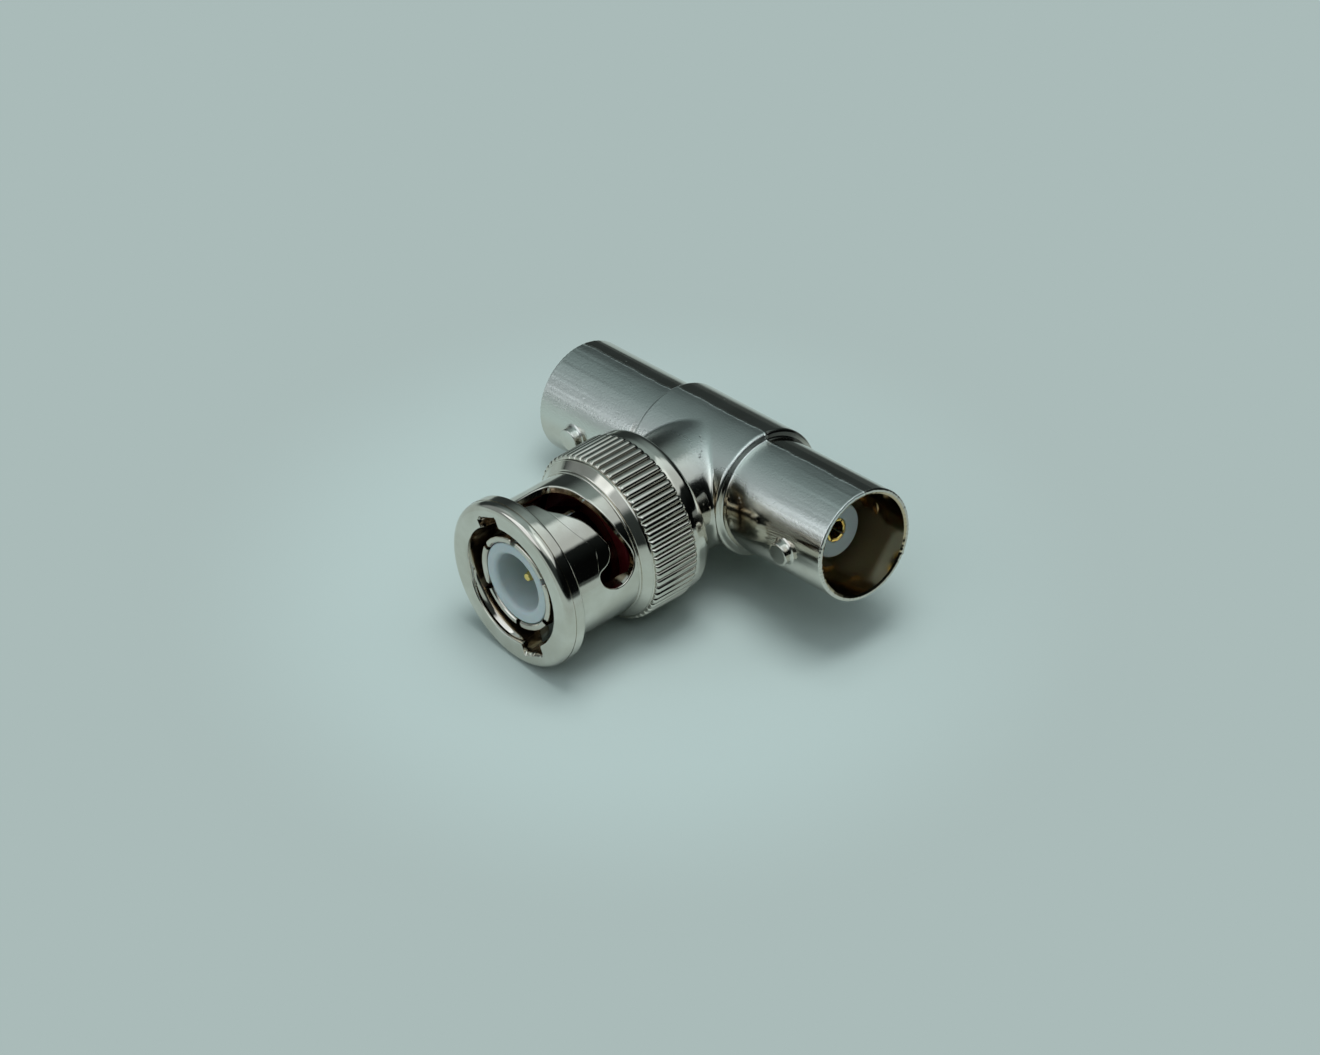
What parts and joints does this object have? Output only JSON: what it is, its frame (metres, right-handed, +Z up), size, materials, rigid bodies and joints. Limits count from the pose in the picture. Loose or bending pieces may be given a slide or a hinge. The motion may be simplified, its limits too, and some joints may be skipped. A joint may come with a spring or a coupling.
{
  "type": "coaxial tee adapter",
  "caption": "Coaxial tee adapter with a bayonet plug, whose slotted coupling nut turns on a wave spring, and a jack with bayonet studs at each end of the crossbar.",
  "frame": {"origin": "centre of the plug's reference plane: the front face of its slotted contact sleeve, on the plug's axis", "axes": "+Y runs back from the plug along the stem to the crossbar, +X along the crossbar to the jack on the right as seen from behind the plug, +Z up"},
  "size_m": [0.0342, 0.028, 0.0146],
  "materials": {
    "nickel_casting": "nickel plate over a die casting, bright with satin patches and a few casting pits",
    "nickel_turned": "bright nickel plate over a turned sleeve",
    "nickel_nut": "mirror nickel plate over a die casting",
    "insulator": "waxy white fluoropolymer",
    "gold": "gold plate over brass",
    "gasket": "soft red silicone",
    "spring_steel": "plain rolled strip"
  },
  "bodies": {
    "tee": {"tee_body": "nickel_casting", "contact_sleeve": "nickel_turned", "plug_insulator": "insulator", "centre_pin": "gold", "sealing_gasket": "gasket", "retaining_ring": "spring_steel", "thrust_washer": "spring_steel", "wave_spring": "spring_steel", "cross_rod": "gold", "left_insulator": "insulator", "right_insulator": "insulator", "left_socket": "gold", "right_socket": "gold"},
    "slip": {"slip_washer": "spring_steel"},
    "nut": {"coupling_nut": "nickel_nut"}
  },
  "joints": [
    {"name": "nut_pull", "type": "slide", "parent": "tee", "child": "slip", "axis": [0, -1, 0], "range_m": [0, 0.0005], "stiffness_N_per_m": 8000, "springref_m": -0.0004, "deforming": ["wave_spring"]},
    {"name": "nut_turn", "type": "hinge", "parent": "slip", "child": "nut", "pos_m": [0, 0.01, 0], "axis": [0, 1, 0], "continuous": true}
  ]
}
